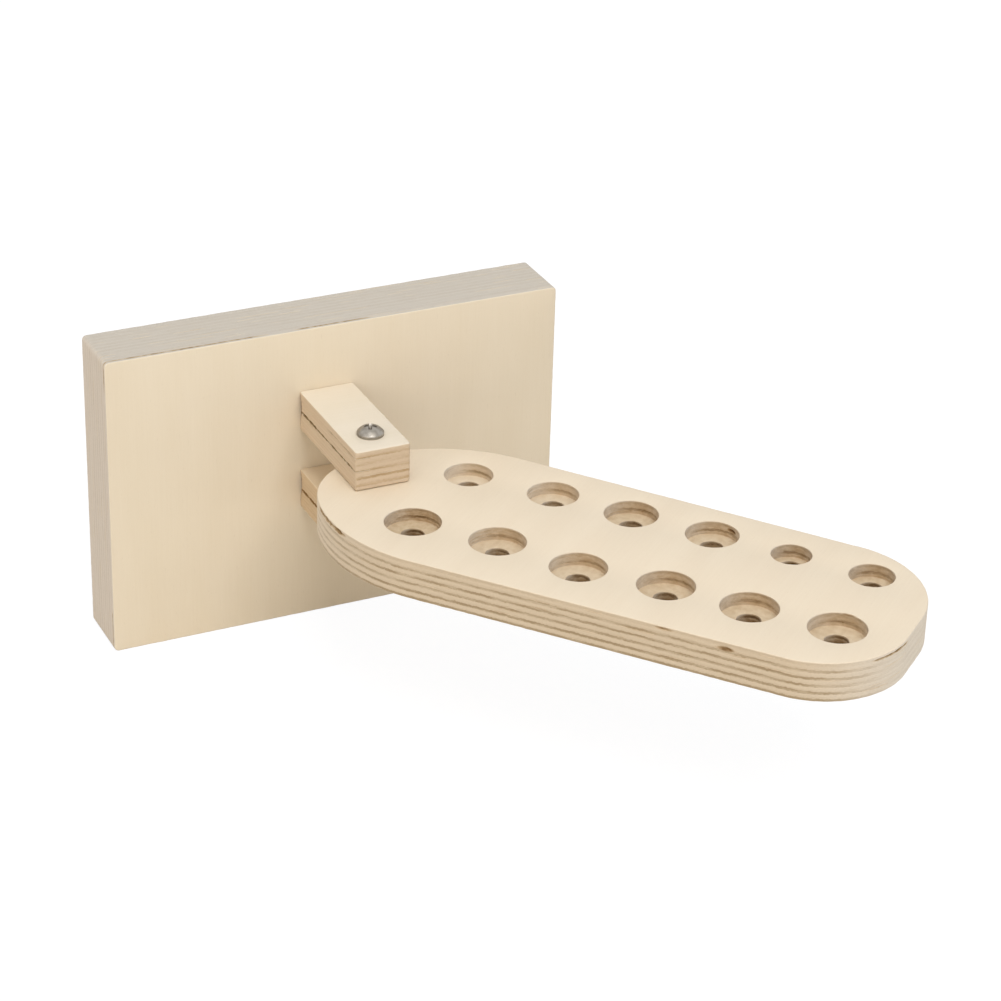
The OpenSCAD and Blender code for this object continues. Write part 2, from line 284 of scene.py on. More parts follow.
def sawn_plies(tree, own, depth, n, sheet, look):
    """The colour and relief of a sawn edge. A ply that lies along the edge shows pale streaks, and the middle
    of one that is cut across shows darker, rough end grain, with brown glue between them."""
    ply = sheet.thick / sheet.plies
    wander = noise_at(tree, own, (2.2, 2.2, 5), 5, 0.75)
    wander = add(tree, "ShaderNodeMath", {0: wander, 1: -0.5}, operation="ADD").outputs[0]
    depth = add(tree, "ShaderNodeMath", {0: wander, 1: 1.5, 2: depth}, operation="MULTIPLY_ADD").outputs[0]
    count = add(tree, "ShaderNodeMath", {0: depth, 1: ply}, operation="DIVIDE").outputs[0]
    wave = add(tree, "ShaderNodeMath", {0: count, 1: math.pi}, operation="MULTIPLY").outputs[0]
    wave = add(tree, "ShaderNodeMath", {0: wave}, operation="SINE").outputs[0]
    faced = add(tree, "ShaderNodeMapRange", {0: wave, 1: 0.1, 2: 0.85},
                interpolation_type="SMOOTHSTEP").outputs[0]
    crossed = add(tree, "ShaderNodeMapRange", {0: wave, 1: -0.1, 2: -0.85},
                  interpolation_type="SMOOTHSTEP").outputs[0]

    # How squarely each of the two kinds of ply is cut across here, from the way that the surface faces
    side = add(tree, "ShaderNodeMath", {0: n["X"], 1: n["X"]}, operation="MULTIPLY").outputs[0]
    end = add(tree, "ShaderNodeMath", {0: n["Y"], 1: n["Y"]}, operation="MULTIPLY").outputs[0]
    faced = add(tree, "ShaderNodeMath", {0: faced, 1: side}, operation="MULTIPLY").outputs[0]
    faced = add(tree, "ShaderNodeMath", {0: faced, 1: look.faced}, operation="MULTIPLY").outputs[0]
    crossed = add(tree, "ShaderNodeMath", {0: crossed, 1: end}, operation="MULTIPLY").outputs[0]
    cut = add(tree, "ShaderNodeMath", {0: crossed, 1: look.crossed, 2: faced},
              operation="MULTIPLY_ADD").outputs[0]

    # End grain comes and goes along the edge, more in some plies than in others, and hardly shows in the top
    # veneer, which is sanded with the face
    number = add(tree, "ShaderNodeMath", {0: count}, operation="FLOOR").outputs[0]
    number = add(tree, "ShaderNodeMath", {0: number, 1: PLY_TONES + sheet.seed}, operation="ADD").outputs[0]
    own_tone = add(tree, "ShaderNodeTexWhiteNoise", {"W": number}, noise_dimensions="1D").outputs["Value"]
    drift = noise_at(tree, own, (11, 11, 1.3), 4, 0.6)
    share = add(tree, "ShaderNodeMath", {0: own_tone, 1: 0.35, 2: drift}, operation="MULTIPLY_ADD").outputs[0]
    share = add(tree, "ShaderNodeMapRange", {0: share, 1: 0.45, 2: 0.85, 3: 0.05, 4: 1.2}).outputs[0]
    below = add(tree, "ShaderNodeMapRange", {0: depth, 1: ply * 0.8, 2: ply * 1.6, 3: 0.25}).outputs[0]
    cut = add(tree, "ShaderNodeMath", {0: cut, 1: share}, operation="MULTIPLY").outputs[0]
    cut = add(tree, "ShaderNodeMath", {0: cut, 1: below}, operation="MULTIPLY").outputs[0]
    speck = noise_at(tree, own, (0.9, 0.9, 0.4), 4, 0.7)
    streak = noise_at(tree, own, (30, 30, 0.8), 3)
    tone = add(tree, "ShaderNodeMath", {0: speck, 1: 0.5, 2: cut}, operation="MULTIPLY_ADD").outputs[0]
    tone = add(tree, "ShaderNodeMath", {0: streak, 1: 0.25, 2: tone}, operation="MULTIPLY_ADD").outputs[0]
    tone = add(tree, "ShaderNodeMapRange", {0: tone, 1: 0.25, 2: 1.25}).outputs[0]
    pale = add(tree, "ShaderNodeMix", {"Factor": end, "A": linear(look.side), "B": linear(look.end)},
               data_type="RGBA").outputs["Result"]
    colour = add(tree, "ShaderNodeMix", {"Factor": tone, "A": pale, "B": linear(look.dark)},
                 data_type="RGBA").outputs["Result"]

    near = add(tree, "ShaderNodeMath", {0: wave}, operation="ABSOLUTE").outputs[0]
    line = add(tree, "ShaderNodeMapRange", {0: near, 1: 0.0, 2: 0.22, 3: 1, 4: 0}).outputs[0]
    shown = noise_at(tree, own, (14, 14, 1.3))
    shown = add(tree, "ShaderNodeMapRange", {0: shown, 1: 0.5, 2: 0.7, 4: 0.4}).outputs[0]
    line = add(tree, "ShaderNodeMath", {0: line, 1: shown}, operation="MULTIPLY").outputs[0]
    colour = add(tree, "ShaderNodeMix", {"Factor": line, "A": colour, "B": linear(look.glue)},
                 data_type="RGBA").outputs["Result"]
    return colour, tone


def birch_plywood(name, sheet, face, edge):
    """Birch plywood, sawn and sanded: pale silky faces, and edges that show every ply. Where the mesh's
    hollow attribute marks a split, a torn spot or a drilled hole, the wood gets painted shade: brown, dark
    and dull."""
    material, tree = new_material(name)
    where = add(tree, "ShaderNodeTexCoord").outputs
    turn = sheet.place.to_3x3() @ Matrix.Rotation(math.atan2(sheet.grain.y, sheet.grain.x), 3, "Z")
    turn = turn.to_euler()
    axes = {"Location": sheet.place.translation * MM, "Rotation": turn, "Scale": (MM, MM, MM)}
    spot = add(tree, "ShaderNodeMapping", {0: where["Object"], **axes}, vector_type="TEXTURE").outputs[0]
    lean = add(tree, "ShaderNodeMapping", {0: where["Normal"], "Rotation": turn}, vector_type="TEXTURE")
    n = add(tree, "ShaderNodeSeparateXYZ", {0: lean.outputs[0]}).outputs
    depth = add(tree, "ShaderNodeSeparateXYZ", {0: spot}).outputs["Z"]
    depth = add(tree, "ShaderNodeMath", {0: depth, 1: -1}, operation="MULTIPLY").outputs[0]
    shift = sheet.seed * SHEETS_APART
    own = add(tree, "ShaderNodeVectorMath", {0: spot, 1: shift}, operation="ADD").outputs[0]

    face_colour, fibre = face_veneer(tree, own, *face)
    edge_colour, tone = sawn_plies(tree, own, depth, n, sheet, edge)

    flat = add(tree, "ShaderNodeMath", {0: n["Z"]}, operation="ABSOLUTE").outputs[0]
    is_face = add(tree, "ShaderNodeMapRange", {0: flat, 1: 0.45, 2: 0.8},
                  interpolation_type="SMOOTHSTEP").outputs[0]
    colour = add(tree, "ShaderNodeMix", {"Factor": is_face, "A": edge_colour, "B": face_colour},
                 data_type="RGBA").outputs["Result"]

    # The hollow attribute carries painted shade, which darkens and browns the wood
    hollow = add(tree, "ShaderNodeAttribute", attribute_name="hollow").outputs["Fac"]
    patchy = noise_at(tree, own, (3, 3, 1.5), 4)
    patchy = add(tree, "ShaderNodeMapRange", {0: patchy, 1: 0.35, 2: 0.65, 3: 0.7, 4: 1.3}).outputs[0]
    hollow = add(tree, "ShaderNodeMath", {0: hollow, 1: patchy}, operation="MULTIPLY").outputs[0]
    shade_gamma = add(tree, "ShaderNodeMath", {0: hollow, 1: SHADE_POWER, 2: 1},
                operation="MULTIPLY_ADD").outputs[0]
    colour = add(tree, "ShaderNodeGamma", {"Color": colour, "Gamma": shade_gamma}).outputs[0]
    shade_share = add(tree, "ShaderNodeMath", {0: hollow, 1: WOOD_SHADE_SHARE}, operation="MULTIPLY").outputs[0]
    colour = add(tree, "ShaderNodeMix", {"Factor": shade_share, "A": colour, "B": linear(WOOD_SHADE)},
                 data_type="RGBA").outputs["Result"]

    rough = add(tree, "ShaderNodeMapRange", {0: is_face, 3: 0.8, 4: 0.55}).outputs[0]
    shine = add(tree, "ShaderNodeMapRange", {0: hollow, 2: 0.5, 3: 0.35, 4: 0}).outputs[0]
    relief = add(tree, "ShaderNodeMix", {"Factor": is_face, "A": tone, "B": fibre}).outputs["Result"]
    bump = add(tree, "ShaderNodeBump", {"Height": relief, "Strength": 0.3, "Distance": 0.07 * MM})
    surface = add(tree, "ShaderNodeBsdfPrincipled", {"Base Color": colour, "Roughness": rough,
                                                     "Specular IOR Level": shine, "Normal": bump.outputs[0]})
    add(tree, "ShaderNodeOutputMaterial", {0: surface.outputs[0]})
    return material


def plated_steel(name, colour, clouded, rough):
    """Steel with a thin coat of zinc from a barrel: a soft metallic shine, clouded in patches of a few
    millimetres, with fine dents from the tumbling. A recess gets painted shade, so it goes dark."""
    material, tree = new_material(name)
    where = add(tree, "ShaderNodeTexCoord").outputs["Object"]
    cloud = add(tree, "ShaderNodeTexNoise", {0: where, "Scale": 1 / (CLOUD * MM), "Detail": 3}).outputs["Fac"]
    cloud = add(tree, "ShaderNodeMapRange", {0: cloud, 1: 0.35, 2: 0.65}).outputs[0]
    tint = add(tree, "ShaderNodeMix", {"Factor": cloud, "A": linear(colour), "B": linear(clouded)},
               data_type="RGBA").outputs["Result"]
    # Painted shade in the pivot screw's recess, where the hollow attribute marks it
    hollow = add(tree, "ShaderNodeAttribute", attribute_name="hollow").outputs["Fac"]
    tint = add(tree, "ShaderNodeMix", {"Factor": hollow, "A": tint, "B": linear(RECESS_SHADE)},
               data_type="RGBA").outputs["Result"]
    dull = add(tree, "ShaderNodeMapRange", {0: cloud, 3: rough * 0.85, 4: rough * 1.15}).outputs[0]
    dents = add(tree, "ShaderNodeTexNoise", {0: where, "Scale": 1 / (DENT * MM), "Detail": 3}).outputs["Fac"]
    bump = add(tree, "ShaderNodeBump", {"Height": dents, "Strength": 0.1, "Distance": 0.03 * MM})
    surface = add(tree, "ShaderNodeBsdfPrincipled", {"Base Color": tint, "Metallic": 1, "Roughness": dull,
                                                     "Normal": bump.outputs[0]})
    add(tree, "ShaderNodeOutputMaterial", {0: surface.outputs[0]})
    return material


def moulded_nylon(name, colour, worn):
    """Nylon, moulded and then cut by the screw's thread: waxy, and a little see-through at its edges, with
    paler rubbed marks."""
    material, tree = new_material(name)
    where = add(tree, "ShaderNodeTexCoord").outputs["Object"]
    rub = add(tree, "ShaderNodeTexNoise", {0: where, "Scale": 1 / (RUB * MM), "Detail": 3}).outputs["Fac"]
    tint = add(tree, "ShaderNodeMix", {"Factor": rub, "A": linear(colour), "B": linear(worn)},
               data_type="RGBA").outputs["Result"]
    bump = add(tree, "ShaderNodeBump", {"Height": rub, "Strength": 0.2, "Distance": 0.05 * MM})
    surface = add(tree, "ShaderNodeBsdfPrincipled", {"Base Color": tint, "Roughness": 0.45, "IOR": 1.53,
                                                     "Subsurface Weight": 0.2, "Subsurface Scale": 1 * MM,
                                                     "Normal": bump.outputs[0]})
    add(tree, "ShaderNodeOutputMaterial", {0: surface.outputs[0]})
    return material


def new_object(name, data, material):
    """An object for a mesh, in the scene."""
    data.materials.clear()
    data.materials.append(material)
    thing = bpy.data.objects.new(name, data)
    bpy.context.scene.collection.objects.link(thing)
    return thing


class Shell:
    """A closed surface while it is built: points in millimetres, faces by point number, which of the faces
    are flat, and how hollow the wood is at each point."""

    def __init__(self):
        self.points, self.hollow, self.faces, self.flat = [], [], [], set()

    def point(self, where, hollow=0.0):
        self.points.append(Vector(where))
        self.hollow.append(hollow)
        return len(self.points) - 1

    def face(self, corners, flat):
        if flat:
            self.flat.add(len(self.faces))
        self.faces.append(tuple(corners))

    def bridge(self, upper, lower, flat=False):
        """Quads between two closed rings of as many points."""
        for i in range(len(upper)):
            j = (i + 1) % len(upper)
            self.face((upper[i], lower[i], lower[j], upper[j]), flat)

    def fill(self, rings, up):
        """Flat triangles inside the first ring and outside the others, which run the other way round."""
        spots, outlines = [], []
        for ring in rings:
            outlines.append(list(range(len(spots), len(spots) + len(ring))))
            spots += [self.points[i].xy for i in ring]
        outlines[1:] = [outline[::-1] for outline in outlines[1:]]
        numbers = [i for ring in rings for i in ring]
        cut = geometry.delaunay_2d_cdt(spots, [], outlines, KEEP_INSIDE, SAME_POINT)
        faces, was_point, was_outline = cut[2], cut[3], cut[5]
        for corners, owners in zip(faces, was_outline):
            if len(owners) == 1:
                found = [numbers[was_point[i][0]] for i in corners]
                self.face(found if up else found[::-1], True)

    def make(self, name, place, material):
        """The object, with its points moved to their place in the rack."""
        data = bpy.data.meshes.new(name)
        data.from_pydata([place @ p * MM for p in self.points], [], self.faces)
        data.polygons.foreach_set("use_smooth", [i not in self.flat for i in range(len(self.faces))])
        data.set_sharp_from_angle(angle=math.radians(CRISP_WOOD))
        data.attributes.new("hollow", "FLOAT", "POINT").data.foreach_set("value", self.hollow)
        return new_object(name, data, material)


def settle(thing, body, node):
    """Hands a piece to the body that carries it, in place of the CAD node that it stands for."""
    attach(thing, body)
    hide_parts(node)


def spaced_outline(corners, step):
    """Even points along a closed outline, anticlockwise, and the way into the wood at each. Round stretches
    come back as curves through their corners, and straight sides stay straight."""
    count = len(corners)
    sides = [corners[(i + 1) % count] - corners[i] for i in range(count)]

    def way(i):
        before, after = sides[(i - 1) % count], sides[i % count]
        longer = max(before, after, key=lambda side: side.length)
        if longer.length > STRAIGHT_SIDE:
            return longer.normalized()
        return (before.normalized() + after.normalized()).normalized()

    points = []
    for i, side in enumerate(sides):
        steps = max(1, round(side.length / step))
        leave, arrive = way(i) * side.length, way(i + 1) * side.length
        for k in range(steps):
            t = k / steps
            bend = (t - 2 * t * t + t ** 3) * leave + (t ** 3 - t * t) * arrive
            points.append(corners[i] + (3 * t * t - 2 * t ** 3) * side + bend)
    inward = []
    for i, p in enumerate(points):
        after, before = points[(i + 1) % len(points)] - p, p - points[i - 1]
        along = (after.normalized() + before.normalized()).normalized()
        inward.append(Vector((-along.y, along.x)))
    return points, inward


def circle_points(centre, radius):
    """Points round a hole, clockwise, and the way into the wood at each."""
    steps = max(RIM_POINTS, round(math.tau * radius / RIM_STEP))
    ways = [Vector((math.cos(math.tau * i / steps), -math.sin(math.tau * i / steps))) for i in range(steps)]
    return [centre + radius * way for way in ways], ways


def eased_rows(depth, ease, down):
    """The rows round a sanded edge: from a face down to a wall, or from a wall down to a face."""
    sign = 1 if down else -1
    turns = [math.radians(t) for t in EASE_TURNS]
    rows = [Row(depth, 0, None, (sign * ease * (1 - math.cos(t)), ease * (1 - math.sin(t)))) for t in turns]
    return rows if down else rows[::-1]


def wall_rows(sheet, top, bottom):
    """The rows of a straight wall between two depths: three for each glue line and two for each ply."""
    ply = sheet.thick / sheet.plies
    faults = {split.depth for split in sheet.splits}
    lines = [k * ply for k in range(1, sheet.plies)]
    lines = [line for line in lines if all(abs(line - fault) >= SAME_LINE for fault in faults)]
    lines = [line for line in sorted(lines + list(faults)) if top + LINE_CLEAR < line < bottom - LINE_CLEAR]
    rows = []
    for before, line in zip([top] + lines, lines + [bottom]):
        rows += [Row(before + (line - before) * share) for share in PLY_ROWS]
        if line < bottom:
            rows += [Row(line, lip=lip) for lip in (-1, 0, 1)]
    return rows


def open_share(split, p):
    """How far open a split is at a point, from 0 to 1. It fades out at both ends and its lips are ragged."""
    line = split.end - split.start
    along = (p - split.start).dot(line) / line.length_squared
    aside = abs((p - split.start).cross(line)) / line.length
    if not 0 < along < 1 or aside > SPLIT_ASIDE:
        return 0
    ragged = LIPS_OPEN + LIPS_VARY * noise.noise(Vector((p.x / LIPS_SIZE, p.y / LIPS_SIZE, split.depth)))
    return min(1, min(along, 1 - along) / SPLIT_FADE) * min(1, max(0, ragged))


def pushed(sheet, p, depth):
    """Where a row of a wall lies at a point, once the splits near it have pushed it away."""
    for split in sheet.splits:
        away = depth - split.depth
        if 0 < abs(away) < SPLIT_REACH:
            half = split.wide / 2 * open_share(split, p)
            depth = split.depth + away * (1 - half / SPLIT_REACH) + math.copysign(half, away)
    return depth


def groove(sheet, p, depth):
    """How deep a glue line is open at a point, and half its width there before a split widens it."""
    loose = noise.noise(Vector((p.x / LOOSE_SIZE, p.y / LOOSE_SIZE, depth * LINES_APART + sheet.seed)))
    deep = LINE_DEEP + LOOSE_DEEP * max(0, loose - LOOSE_FROM)
    half = LINE_HALF * (1 + deep)
    for split in sheet.splits:
        if abs(split.depth - depth) < 0.01:
            deep += split.deep * open_share(split, p)
    return deep, half


def tear(sheet, p, depth):
    """How far the torn spots go into the wood at a point."""
    deep = 0
    for nick in sheet.nicks:
        reach = ((p - nick.at).length / nick.along) ** 2 + ((depth - nick.depth) / nick.high) ** 2
        if reach < 1:
            varied = 1 + TORN_VARIES * noise.noise(Vector((p.x, p.y, depth)) / TORN_SIZE)
            deep += nick.deep * (1 - reach) * varied
    return deep


def saw_marks(sheet, p, way, depth):
    """How rough a ply is at a point of a wall: end grain tears, and wood cut along its grain stays smooth."""
    odd = int(depth / (sheet.thick / sheet.plies)) % 2
    grain = Vector((-sheet.grain.y, sheet.grain.x)) if odd else sheet.grain
    rough = SAWN_SMOOTH + SAWN_ROUGH * way.dot(grain) ** 2
    where = Vector((p.x / SAWN_ALONG, p.y / SAWN_ALONG, depth / SAWN_HIGH + sheet.seed))
    return rough * (1 + noise.noise(where))


def add_wall(shell, sheet, points, ways, rows, shift=0):
    """A wall of rings, one for each row, from its top ring down. Returns its first and last rings."""
    rings = []
    for row in rows:
        ring = []
        for p, way in zip(points, ways):
            depth, back, hollow = row.depth, row.back, row.dark
            if row.turn is not None:
                where = Vector((p.x / EASE_DRIFT, p.y / EASE_DRIFT, sheet.seed))
                soft = 1 + EASE_VARIES * noise.noise(where)
                depth = pushed(sheet, p, depth + row.turn[0] * soft)
                back += row.turn[1] * soft
            elif row.lip is None:
                depth = pushed(sheet, p, depth)
                back += saw_marks(sheet, p, way, row.depth)
            else:
                deep, half = groove(sheet, p, row.depth)
                depth = pushed(sheet, p, depth + row.lip * half)
                back += 0 if row.lip else deep
                # Painted shade in an open glue line: darker the deeper it is open, and less on its lips
                hollow += min(1, deep / FULL_DARK) * (LIP_DARK if row.lip else 1)
            torn = tear(sheet, p, depth)
            # Painted shade in a torn spot, darker the deeper it goes
            hollow += torn if row.turn is None else 0
            spot = p + way * (back + torn + shift)
            ring.append(shell.point((spot.x, spot.y, -depth), min(1, hollow)))
        rings.append(ring)
    for upper, lower in zip(rings, rings[1:]):
        shell.bridge(upper, lower)
    return rings[0], rings[-1]


def shade_rows(rows, start, per_mm, most):
    """The rows, with painted shade that grows with each millimetre below the first of them, up to a limit."""
    return [row._replace(dark=min(most, start + per_mm * (row.depth - rows[0].depth))) for row in rows]


def stepped_hole(shell, sheet, seat, blade):
    """A seat for a handle, its flat floor, and the hole for the blade on through the sheet, all with painted
    shade. The seats differ in how much of it they get."""
    centre, seat_r, seat_deep = seat
    blade_r = blade[1]
    own = 1 + SEATS_DIFFER * noise.noise(centre / SEATS_APART)
    points, ways = circle_points(centre.xy, seat_r)
    # Painted shade on the seat's wall and floor
    wall = shade_rows(wall_rows(sheet, SANDED_RIM, seat_deep), SEAT_WALL_SHADE * own, 0, 1)
    foot = Row(seat_deep, dark=SEAT_FLOOR_SHADE * own)
    rim, floor = add_wall(shell, sheet, points, ways, eased_rows(0, SANDED_RIM, True) + wall + [foot])
    through = wall_rows(sheet, seat_deep + SANDED_RIM, sheet.thick - SANDED_RIM)
    # Painted shade on the blade hole's wall, darker with each millimetre down
    rows = shade_rows(eased_rows(seat_deep, SANDED_RIM, True) + through, SEAT_FLOOR_SHADE * own, HOLE_SHADE_PER_MM, HOLE_SHADE)
    rows += eased_rows(sheet.thick, SANDED_RIM, False)
    step, far_rim = add_wall(shell, sheet, points, ways, rows, blade_r - seat_r)
    shell.bridge(floor, step, flat=True)
    return rim, far_rim


def plain_hole(shell, sheet, centre, radius):
    """A straight hole right through a sheet."""
    rows = eased_rows(0, SANDED_RIM, True) + wall_rows(sheet, SANDED_RIM, sheet.thick - SANDED_RIM)
    rows += eased_rows(sheet.thick, SANDED_RIM, False)
    return add_wall(shell, sheet, *circle_points(centre, radius), rows)


def sunk_hole(shell, sheet, centre, radius, head_r):
    """A straight hole through a sheet, countersunk at its far face."""
    sink = head_r - radius
    rows = eased_rows(0, SANDED_RIM, True) + [Row(UNDER_RIM), Row(sheet.thick - sink)]
    rows.append(Row(sheet.thick, sink, None, (0, 0)))
    return add_wall(shell, sheet, *circle_points(centre, radius), rows)


def blind_hole(shell, sheet, centre, radius, deep):
    """A drilled hole in a sheet's far face, with a flat bottom. Returns its rim."""
    floor = sheet.thick - deep
    rows = [Row(floor, 0, None, (0, 0))] + wall_rows(sheet, floor, sheet.thick - SANDED_RIM)
    rows += eased_rows(sheet.thick, SANDED_RIM, False)
    bottom, rim = add_wall(shell, sheet, *circle_points(centre, radius), rows)
    shell.face(bottom, True)
    return rim


def add_sheet(shell, sheet, corners, holes, behind=()):
    """A piece of plywood's sawn edge and its two flat faces. holes are the rims of the holes right through
    it, in pairs of near and far rim, and behind are the rims of the holes in its far face alone."""
    rows = eased_rows(0, sheet.ease, True) + wall_rows(sheet, sheet.ease, sheet.thick - sheet.ease)
    rows += eased_rows(sheet.thick, sheet.ease, False)
    top, low = add_wall(shell, sheet, *spaced_outline(corners, sheet.step), rows)
    shell.fill([top] + [near for near, far in holes], True)
    shell.fill([low] + [far for near, far in holes] + list(behind), False)


def rectangle(lo, hi, radius):
    """The corners of a rectangle's outline, anticlockwise, each one rounded in a few steps."""
    corners = []
    for x, y, start in ((hi[0], hi[1], 0), (lo[0], hi[1], 90), (lo[0], lo[1], 180), (hi[0], lo[1], 270)):
        turns = [math.radians(start + 90 * step / CORNER_STEPS) for step in range(CORNER_STEPS + 1)]
        half_way = math.radians(start + 45)
        middle = Vector((x, y)) - radius * math.sqrt(2) * Vector((math.cos(half_way), math.sin(half_way)))
        corners += [middle + radius * Vector((math.cos(t), math.sin(t))) for t in turns]
    return corners


def box_mm(node):
    """A node's lowest and highest corners in millimetres."""
    lo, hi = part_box(node)
    return Vector(lo) / MM, Vector(hi) / MM


def mounts_like(start):
    """The record's bores whose names start so, as (centre, radius, length) in millimetres, in their order."""
    found = [m for m in frame["record"]["mounts"] if m["name"].startswith(start)]
    return [(Vector(m["pos_m"]) / MM, m["dims"]["r_mm"], m["dims"]["length_mm"]) for m in found]


def pivot_mm():
    """The place of the board's swivel joint, seen from above, in millimetres."""
    joint = next(j for j in frame["record"]["behaviour"]["joints"] if j["name"] == "board_swivel")
    return Vector(joint["pos_m"]).xy / MM


def make_board():
    """The swinging board, with twelve stepped holes and the pivot's. Its outline is that of the CAD node, and
    its faults are placed by their distance from the nose and from the centre line."""
    lo, hi = box_mm("board")
    vertices = [v.co.xy / MM for v in frame["nodes"]["board"].data.vertices]
    hull = [vertices[i] for i in geometry.convex_hull_2d(vertices)]
    corners = [p for i, p in enumerate(hull) if (p - hull[i - 1]).length > SAME_CORNER]
    sides = [p - corners[i - 1] for i, p in enumerate(corners)]
    along = max(sides, key=lambda side: side.length).normalized()
    along = along if along.x > 0 else -along
    across = Vector((-along.y, along.x))
    nose = min(corners, key=lambda p: p.dot(along))

    def spot(u, v):
        return nose + u * along + v * across

    thick = hi.z - lo.z
    veneer = thick / BOARD_PLIES
    splits = (Split(depth=veneer, start=spot(8, -25), end=spot(32, -43), deep=1.2, wide=2.0),
              Split(depth=veneer, start=spot(256, -35), end=spot(264, -14), deep=1.2, wide=0.9))
    nicks = (Nick(at=spot(176, -51), depth=1, along=4, high=0.8, deep=0.35),
             Nick(at=spot(202, -51), depth=3, along=4, high=1.1, deep=0.55),
             Nick(at=spot(237, -7), depth=0, along=4, high=1.2, deep=0.7),
             Nick(at=spot(169, 37), depth=2.5, along=2.5, high=1, deep=0.9))
    sheet = Sheet(place=Matrix.Translation((0, 0, hi.z)), thick=thick, plies=BOARD_PLIES, grain=across,
                  seed=4, ease=0.6, step=1.1, splits=splits, nicks=nicks)
    shell = Shell()
    holes = [stepped_hole(shell, sheet, seat, blade)
             for seat, blade in zip(mounts_like("handle_seat"), mounts_like("blade_hole"))]
    holes.append(plain_hole(shell, sheet, pivot_mm(), BOARD_PIVOT_R))
    add_sheet(shell, sheet, corners, holes)
    # The end colour, on the board's nose and far end, is paler partly for the grain there and partly as
    # painted light on those ends
    edge = Edge(side="#dccab1", end="#f0e7da", dark="#a69173", glue="#9c8465", faced=0.8, crossed=0.12)
    wood = birch_plywood("birch_plywood_board", sheet, ("#eadcc5", "#e5d5bd"), edge)
    settle(shell.make("swivel_board", sheet.place, wood), "board", "board")


def make_arm(node, seed, face, sawn):
    """One arm, with the pivot's hole through it and the wood screws' holes in its end. A split runs the
    length of its left side in the middle ply, widest at the plate, and a shorter one near its top."""
    lo, hi = box_mm(node)
    thick = hi.z - lo.z

    def left(y):
        return Vector((lo.x, y))

    splits = (Split(depth=thick / 2, start=left(hi.y + 2), end=left(lo.y - 2), deep=1.4, wide=1.0),
              Split(depth=thick / 2, start=left(hi.y + 1), end=left(hi.y - 20), deep=1.0, wide=0.9),
              Split(depth=3.2, start=left(lo.y + 32), end=left(lo.y - 3), deep=0.4, wide=0.3))
    nicks = (Nick(at=left(hi.y - 0.5), depth=7.2, along=1.8, high=6.2, deep=0.6),)
    sheet = Sheet(place=Matrix.Translation((0, 0, hi.z)), thick=thick, plies=BOARD_PLIES,
                  grain=Vector((1, 0)), seed=seed, ease=0.65, step=0.7, splits=splits, nicks=nicks)
    shell = Shell()
    holes = [plain_hole(shell, sheet, pivot_mm(), ARM_PIVOT_R)]
    add_sheet(shell, sheet, rectangle(lo.xy, hi.xy, ARM_CORNER), holes)
    edge = Edge(side=sawn, end=sawn, dark="#b0946d", glue="#9d8160", faced=0.08, crossed=0.6)
    wood = birch_plywood("birch_plywood_" + node, sheet, face, edge)
    arm = shell.make(node + "_wood", sheet.place, wood)
    drill(arm, [Vector((x, hi.y, z)) for x, z in wood_screws(node + "_screws")])
    settle(arm, "bracket", node)


def wood_screws(node):
    """Where the two wood screws of an arm stand, as pairs of X and Z in millimetres."""
    lo, hi = box_mm(node)
    height = (lo.z + hi.z) / 2
    head_r = (hi.z - lo.z) / 2
    return [(lo.x + head_r, height), (hi.x - head_r, height)]


def drill(arm, spots):
    """Drills the wood screws' holes into an arm from its end against the plate."""
    bm = bmesh.new()
    for spot in spots:
        place = Matrix.Translation(spot * MM) @ Matrix.Rotation(math.radians(90), 4, "X")
        bmesh.ops.create_cone(bm, cap_ends=True, segments=32, radius1=WOOD_SCREW_R * MM,
                              radius2=WOOD_SCREW_R * MM, depth=2 * ARM_SCREW_DEEP * MM, matrix=place)
    drills = bpy.data.meshes.new("drills")
    bm.to_mesh(drills)
    bm.free()
    tool = new_object("drills", drills, arm.data.materials[0])
    cut = arm.modifiers.new("screw_holes", "BOOLEAN")
    cut.object, cut.operation, cut.solver = tool, "DIFFERENCE", "EXACT"
    bpy.context.view_layer.update()
    drilled = bpy.data.meshes.new_from_object(arm.evaluated_get(bpy.context.evaluated_depsgraph_get()))
    arm.modifiers.clear()
    arm.data = drilled
    bpy.data.objects.remove(tool)


